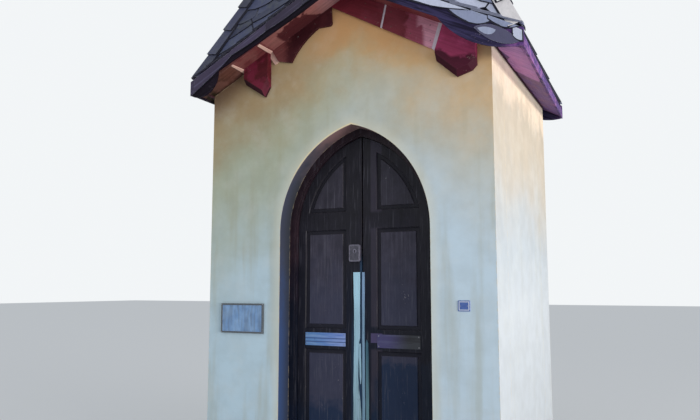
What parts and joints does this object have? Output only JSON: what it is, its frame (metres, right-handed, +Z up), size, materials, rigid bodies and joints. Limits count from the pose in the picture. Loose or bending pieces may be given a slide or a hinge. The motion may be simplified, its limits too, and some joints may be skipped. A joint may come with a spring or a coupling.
{
  "type": "small chapel",
  "caption": "Small plastered chapel with a pointed double door under a low gable, red boarded eaves and a steep slated tent roof.",
  "frame": {"origin": "on the ground, under the middle of the roof and on the door axis", "axes": "+Z up, the front with the door faces -Y, +X to the right of someone facing the door"},
  "size_m": [2.84, 2.44, 6.61],
  "materials": {
    "plaster": "matte",
    "floor_stone": "matte",
    "frame_paint": "satin",
    "leaf_paint": "satin",
    "panel_paint": "satin",
    "pale_strip": "matte",
    "blue_plate": "satin",
    "purple_plate": "satin",
    "lock_grey": "satin",
    "hinge_steel": "satin",
    "red_boards": "satin",
    "dark_verge": "matte",
    "slated_roof": "matte",
    "hip_metal": "satin",
    "board_paint": "satin",
    "number_paint": "gloss"
  },
  "bodies": {
    "chapel": {"apex_cap": "hip_metal", "back_wall": "plaster", "corbels": "red_boards", "door_frame_arch_left": "frame_paint", "door_frame_arch_right": "frame_paint", "door_frame_jamb_left": "frame_paint", "door_frame_jamb_right": "frame_paint", "door_sill": "floor_stone", "floor_slab": "floor_stone", "frame_hinges": "hinge_steel", "front_arch_left": "plaster", "front_arch_right": "plaster", "front_pier_left": "plaster", "front_pier_right": "plaster", "hip_covers": "hip_metal", "info_board": "board_paint", "left_eave_deck": "red_boards", "left_fascia": "dark_verge", "left_friezes": "red_boards", "left_gable_decks": "red_boards", "left_verge_boards": "dark_verge", "left_wall": "plaster", "number_plate": "number_paint", "right_eave_deck": "red_boards", "right_fascia": "dark_verge", "right_friezes": "red_boards", "right_gable_decks": "red_boards", "right_verge_boards": "dark_verge", "right_wall": "plaster", "tent_slope_back": "slated_roof", "tent_slope_front": "slated_roof", "tent_slope_left": "slated_roof", "tent_slope_right": "slated_roof"},
    "left_leaf": {"left_leaf_frame": "leaf_paint", "left_leaf_panels": "panel_paint", "left_leaf_strip": "pale_strip", "left_leaf_plate": "blue_plate", "left_leaf_hinges": "hinge_steel", "door_lock": "lock_grey"},
    "right_leaf": {"right_leaf_frame": "leaf_paint", "right_leaf_panels": "panel_paint", "right_leaf_strip": "pale_strip", "right_leaf_plate": "purple_plate", "right_leaf_hinges": "hinge_steel"}
  },
  "joints": [
    {"name": "left_leaf_swing", "type": "hinge", "parent": "chapel", "child": "left_leaf", "pos_m": [-0.5875, -0.711, 0.147], "axis": [0, 0, 1], "range_deg": [0, 100]},
    {"name": "right_leaf_swing", "type": "hinge", "parent": "chapel", "child": "right_leaf", "pos_m": [0.5875, -0.711, 0.147], "axis": [0, 0, -1], "range_deg": [0, 100]}
  ]
}
